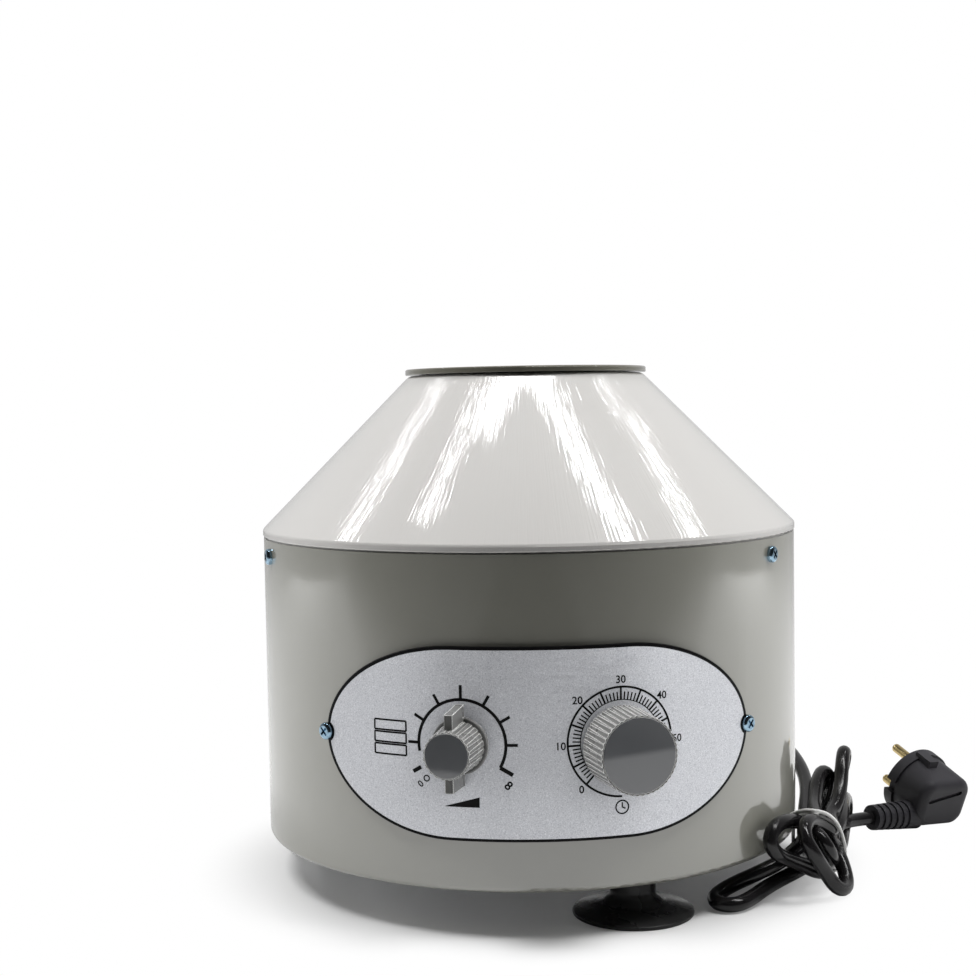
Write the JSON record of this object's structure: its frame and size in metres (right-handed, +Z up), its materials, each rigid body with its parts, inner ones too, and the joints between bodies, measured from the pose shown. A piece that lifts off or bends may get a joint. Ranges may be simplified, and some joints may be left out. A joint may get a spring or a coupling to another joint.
{
  "type": "bench centrifuge",
  "caption": "Round bench centrifuge with a cone cover and hinged lid, an angle rotor with tube sleeves, speed and timer dials, suction feet and a tied mains lead with an angled plug.",
  "frame": {"origin": "on the bench, on the rotor's axis, under the middle of the casing", "axes": "+Z up along the rotor's axis; -Y towards the user, out of the front panel; +X to the user's right"},
  "size_m": [0.3602, 0.363, 0.2451],
  "materials": {
    "body_paint": "gloss",
    "cone_paint": "gloss",
    "lid_paint": "gloss",
    "panel_black": "satin",
    "panel_silver": "satin",
    "blue_zinc": "bright",
    "steel": "satin",
    "plate_steel": "satin",
    "core_iron": "rough",
    "copper": "lacquered",
    "carbon": "matte",
    "bowl_aluminium": "brushed",
    "dark_ring": "satin",
    "chrome_nut": "polished",
    "sleeve_white": "translucent",
    "foot_rubber": "satin",
    "knob_grey": "satin",
    "cap_grey": "satin",
    "control_body": "matte",
    "board_green": "satin",
    "hinge_steel": "gloss",
    "cord_black": "satin",
    "tie_white": "satin",
    "pin_brass": "polished"
  },
  "bodies": {
    "housing": {"housing_shell": "body_paint", "cone_cover": "cone_paint", "casing_screws": "blue_zinc", "base_plate": "plate_steel", "front_panel": "panel_black", "panel_overlay": "panel_silver", "foot_front": "foot_rubber", "foot_rear": "foot_rubber", "foot_left": "foot_rubber", "foot_studs": "steel", "hex_nuts": "steel", "motor_isolators": "foot_rubber", "motor_bolts": "steel", "motor_bottom_cap": "bowl_aluminium", "motor_can": "plate_steel", "motor_top_cap": "bowl_aluminium", "field_core": "core_iron", "field_coils": "copper", "motor_bearings": "steel", "brush_holders": "control_body", "carbon_brushes": "carbon", "speed_control": "control_body", "timer_body": "control_body", "control_nuts": "steel", "regulator_board": "board_green", "board_standoffs": "steel", "heat_sink": "bowl_aluminium", "cord_gland": "cord_black", "hinge_bracket": "hinge_steel", "hinge_pin": "steel", "bracket_rivets": "steel", "cord_lead": "cord_black", "cord_hank": "cord_black", "cord_tail": "cord_black", "cord_tie": "tie_white", "plug_body": "cord_black", "plug_pins": "pin_brass"},
    "lid": {"lid": "lid_paint", "lid_leaf": "hinge_steel"},
    "rotor": {"motor_shaft": "steel", "armature": "core_iron", "commutator": "copper", "cooling_fan": "control_body", "rotor_hub": "bowl_aluminium", "rotor_bowl": "bowl_aluminium", "number_ring": "panel_silver", "rotor_washer": "dark_ring", "cap_nut": "chrome_nut", "tube_sleeve_1": "sleeve_white", "tube_sleeve_2": "sleeve_white", "tube_sleeve_3": "sleeve_white", "tube_sleeve_4": "sleeve_white", "tube_sleeve_5": "sleeve_white", "tube_sleeve_6": "sleeve_white"},
    "speed_knob": {"speed_knob": "knob_grey", "speed_knob_cap": "cap_grey", "speed_spindle": "steel"},
    "timer_knob": {"timer_knob": "knob_grey", "timer_knob_cap": "cap_grey", "timer_spindle": "steel"}
  },
  "joints": [
    {"name": "lid_hinge", "type": "hinge", "parent": "housing", "child": "lid", "pos_m": [0, 0.063, 0.2418], "axis": [-1, 0, 0], "range_deg": [0, 105]},
    {"name": "rotor_spin", "type": "hinge", "parent": "housing", "child": "rotor", "pos_m": [0, 0, 0.2], "axis": [0, 0, 1], "continuous": true},
    {"name": "speed_dial", "type": "hinge", "parent": "housing", "child": "speed_knob", "pos_m": [-0.02925, -0.12928, 0.0838], "axis": [-0.2207, -0.9753, 0], "range_deg": [-120, 120]},
    {"name": "timer_dial", "type": "hinge", "parent": "housing", "child": "timer_knob", "pos_m": [0.03798, -0.12699, 0.0822], "axis": [0.2865, -0.9581, 0], "range_deg": [-276, 22]}
  ]
}
